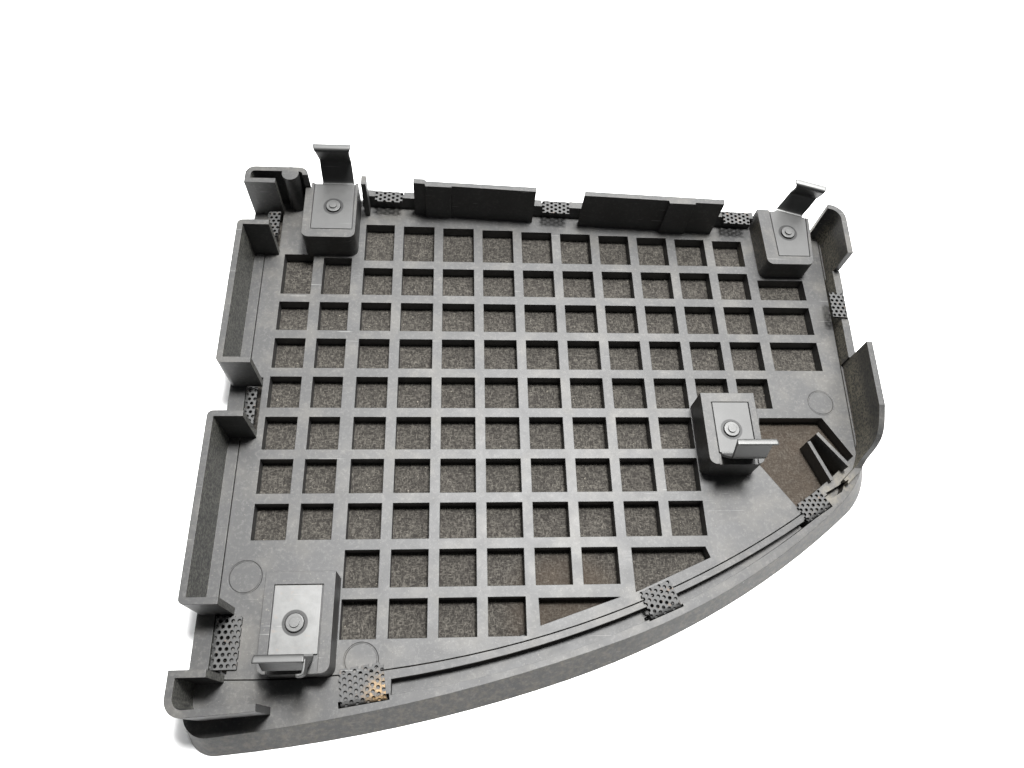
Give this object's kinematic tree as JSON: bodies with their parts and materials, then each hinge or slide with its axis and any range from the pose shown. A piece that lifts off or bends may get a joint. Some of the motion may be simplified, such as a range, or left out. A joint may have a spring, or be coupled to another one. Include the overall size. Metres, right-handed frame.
{
  "type": "loudspeaker grille panel",
  "caption": "Quarter-shaped loudspeaker grille panel, back side up: plastic rim and square lattice over cloth and a perforated steel face, held in its trim by spring clips.",
  "frame": {"origin": "centre of the bounding box on the plane that the front face lies on", "axes": "+Z out of the back, the side with the clips; +X along the lattice rows from the straight side to the curved corner; +Y towards the straight side with the two fins"},
  "size_m": [0.178, 0.1568, 0.0287],
  "materials": {
    "rim_plastic": "fine-grained black moulding, dusty",
    "deck_plastic": "fine-grained black moulding, scuffed",
    "cloth": "non-woven, dusty",
    "steel_face": "dark coating, worn and dusty",
    "clip_steel": "phosphated spring steel",
    "rivet_metal": "dull rivet head"
  },
  "bodies": {
    "panel": {"rim_frame": "rim_plastic", "lattice_panel": "deck_plastic", "acoustic_cloth": "cloth", "grille_mesh": "steel_face", "clip_base_nw": "clip_steel", "clip_rivet_nw": "rivet_metal", "clip_base_ne": "clip_steel", "clip_rivet_ne": "rivet_metal", "clip_base_se": "clip_steel", "clip_rivet_se": "rivet_metal", "clip_base_sw": "clip_steel", "clip_rivet_sw": "rivet_metal"},
    "leg_nw": {"clip_leg_nw": "clip_steel"},
    "leg_ne": {"clip_leg_ne": "clip_steel"},
    "leg_se": {"clip_leg_se": "clip_steel"},
    "leg_sw": {"clip_leg_sw": "clip_steel"}
  },
  "joints": [
    {"name": "flex_nw", "type": "hinge", "parent": "panel", "child": "leg_nw", "pos_m": [-0.06309, 0.07429, 0.0161], "axis": [1, 0, 0], "range_deg": [0, 8], "stiffness_Nm_per_rad": 0.6},
    {"name": "flex_ne", "type": "hinge", "parent": "panel", "child": "leg_ne", "pos_m": [0.07511, 0.06862, 0.0143], "axis": [0.9537, -0.3007, 0], "range_deg": [0, 8], "stiffness_Nm_per_rad": 0.6},
    {"name": "flex_se", "type": "hinge", "parent": "panel", "child": "leg_se", "pos_m": [0.04536, -0.01081, 0.0161], "axis": [-1, 0, 0], "range_deg": [0, 8], "stiffness_Nm_per_rad": 0.6},
    {"name": "flex_sw", "type": "hinge", "parent": "panel", "child": "leg_sw", "pos_m": [-0.06409, -0.05841, 0.0161], "axis": [-1, 0, 0], "range_deg": [0, 8], "stiffness_Nm_per_rad": 0.6}
  ]
}
